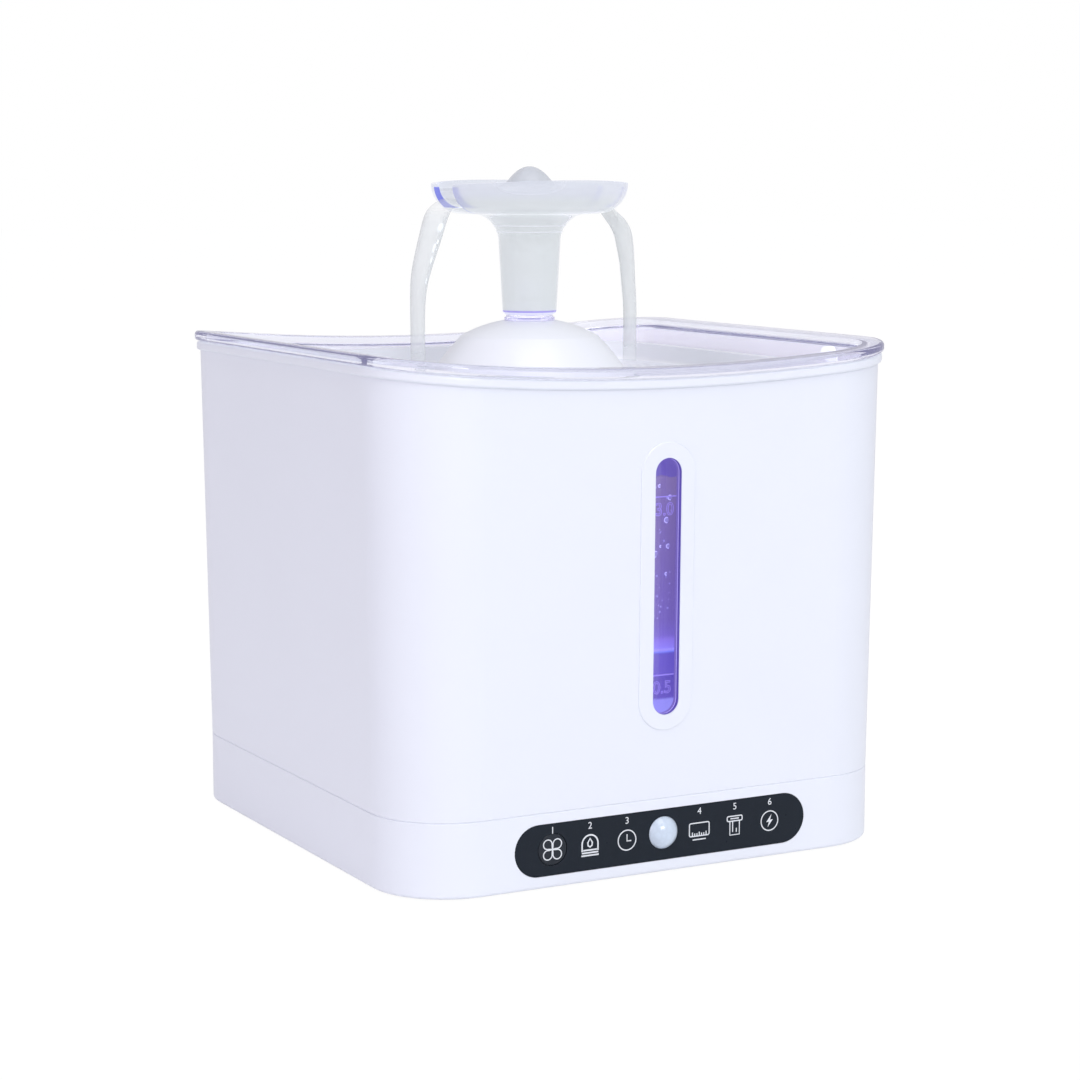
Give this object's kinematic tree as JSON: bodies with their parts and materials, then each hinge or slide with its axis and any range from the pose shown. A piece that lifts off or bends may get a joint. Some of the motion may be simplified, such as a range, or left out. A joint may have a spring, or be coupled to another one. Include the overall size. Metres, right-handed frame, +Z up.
{
  "type": "pet water fountain",
  "caption": "Square white drinking fountain for pets with a clear saddle-rimmed tank, a domed tray and a clear head on a stem that pours two streams.",
  "frame": {"origin": "on the floor, under the middle of the square base", "axes": "+Z up, control strip and level window face -Y, the streams fall at -X and +X"},
  "size_m": [0.198, 0.198, 0.2304],
  "materials": {
    "white_shell": "satin moulded ABS",
    "clear_plastic": "clear polished",
    "dark_film": "smooth film",
    "milky_lens": "milky satin",
    "white_plastic": "matt moulded",
    "grey_plastic": "matt moulded",
    "rubber_grey": "matt",
    "steel": "machined",
    "copper": "enamelled wire",
    "board_green": "solder mask",
    "chip_black": "moulded epoxy",
    "cell_wrap": "shrink film",
    "magnet_dark": "sintered ferrite",
    "sponge_dark": "open-cell foam",
    "fleece_white": "needled fleece",
    "carbon_black": "granules",
    "led_body": "moulded"
  },
  "bodies": {
    "base": {"base_housing": "white_shell", "bottom_cover": "white_plastic", "cover_seal": "rubber_grey", "cover_screws": "steel", "rubber_feet": "rubber_grey", "upper_shell": "white_shell", "control_panel": "dark_film", "sensor_lens": "milky_lens", "push_switch": "chip_black", "light_guides": "clear_plastic", "indicator_leds": "led_body", "motion_sensor": "steel", "panel_board": "board_green", "main_board": "board_green", "board_components": "chip_black", "charging_socket": "steel", "battery_cells": "cell_wrap", "battery_holder": "chip_black", "coil_bobbin": "white_plastic", "coil_winding": "copper", "coil_core": "steel", "coil_retainer": "steel", "light_board": "board_green", "tank_leds": "led_body", "light_windows": "clear_plastic", "board_screws": "steel"},
    "settings_button": {"settings_button": "dark_film", "switch_plunger": "grey_plastic"},
    "port_plug": {"port_plug": "rubber_grey"},
    "tank": {"water_tank": "clear_plastic", "pump_housing": "grey_plastic", "pump_cover": "grey_plastic", "pump_shaft": "steel", "pump_sponge": "sponge_dark", "riser_tube": "clear_plastic"},
    "impeller": {"impeller": "white_plastic", "shaft_bushes": "grey_plastic", "rotor_magnet": "magnet_dark"},
    "tray": {"drinking_tray": "white_shell", "filter_basket": "white_plastic", "filter_fleece": "fleece_white", "filter_carbon": "carbon_black", "filter_lid": "white_plastic", "nozzle_collar": "clear_plastic", "spout_seal": "rubber_grey"},
    "spout": {"spout_tower": "clear_plastic"}
  },
  "joints": [
    {"name": "settings_button_press", "type": "slide", "parent": "base", "child": "settings_button", "axis": [0, 1, 0], "range_m": [0, 0.0006], "stiffness_N_per_m": 1500},
    {"name": "port_plug_hinge", "type": "hinge", "parent": "base", "child": "port_plug", "pos_m": [0.0482, 0.0943, 0.01023], "axis": [0, 0, 1], "range_deg": [0, 100], "stiffness_Nm_per_rad": 0.001},
    {"name": "tank_lift", "type": "slide", "parent": "base", "child": "tank", "axis": [0, 0, 1], "range_m": [0, 0.155]},
    {"name": "tray_lift", "type": "slide", "parent": "tank", "child": "tray", "axis": [0, 0, 1], "range_m": [0, 0.07]},
    {"name": "spout_lift", "type": "slide", "parent": "tray", "child": "spout", "axis": [0, 0, 1], "range_m": [0, 0.04]},
    {"name": "impeller_spin", "type": "hinge", "parent": "tank", "child": "impeller", "pos_m": [0, 0, 0.04], "axis": [0, 0, 1], "continuous": true}
  ]
}
